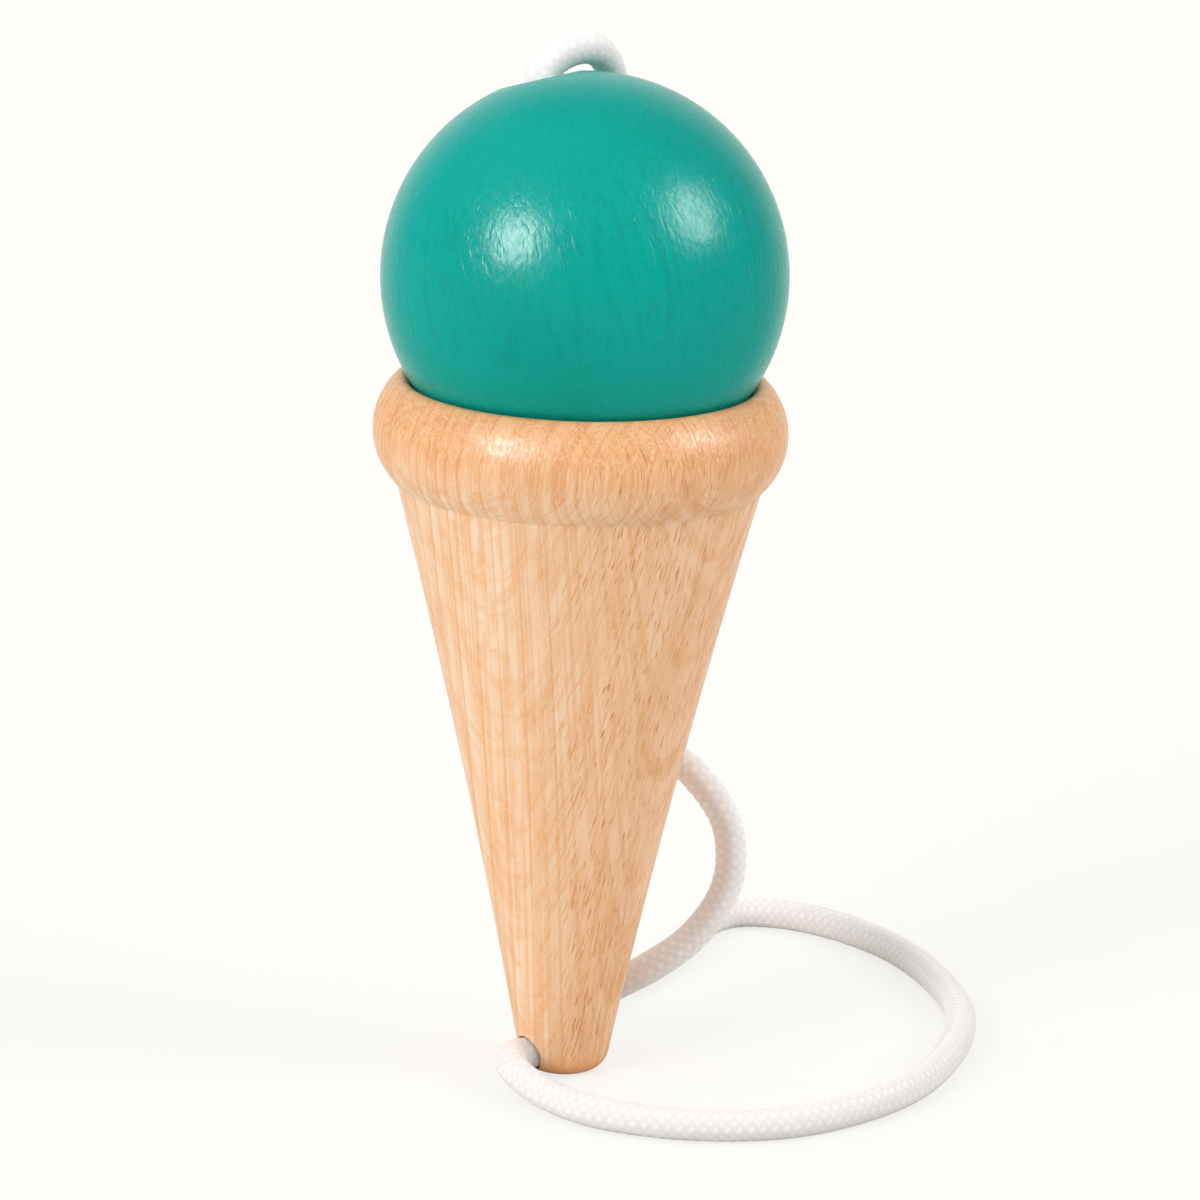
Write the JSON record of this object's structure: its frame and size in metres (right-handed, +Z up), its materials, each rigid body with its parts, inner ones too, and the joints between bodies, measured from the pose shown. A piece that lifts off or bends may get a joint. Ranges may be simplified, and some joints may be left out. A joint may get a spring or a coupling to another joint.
{
  "type": "cup and ball toy",
  "caption": "Hand toy: a turned wooden cone with a hollow cup and rounded rim, and a painted wooden ball on a braided cord that is tossed and caught in the cup.",
  "frame": {"origin": "middle of the flat face under the foot, on the surface that the toy stands on", "axes": "+Z up along the cone's axis, +X to the right and +Y to the back as the toy is seen from the front"},
  "size_m": [0.0938, 0.1083, 0.1559],
  "materials": {
    "beech": "clear satin lacquer over light turned beech",
    "painted_beech": "teal satin paint over turned beech",
    "cord": "white round braid"
  },
  "bodies": {
    "cone": {"cup_cone": "beech", "cord_loop": "cord"},
    "cord_end": {"cord_arch": "cord", "cord_knot": "cord"},
    "ball": {"ball": "painted_beech"}
  },
  "joints": [
    {"name": "ball_lift", "type": "slide", "parent": "cone", "child": "cord_end", "axis": [0, 0, 1], "range_m": [0, 0.04]},
    {"name": "ball_spin", "type": "hinge", "parent": "cord_end", "child": "ball", "pos_m": [0, 0, 0.1221], "axis": [-0.2468, 0.186, 0.9511], "continuous": true}
  ]
}
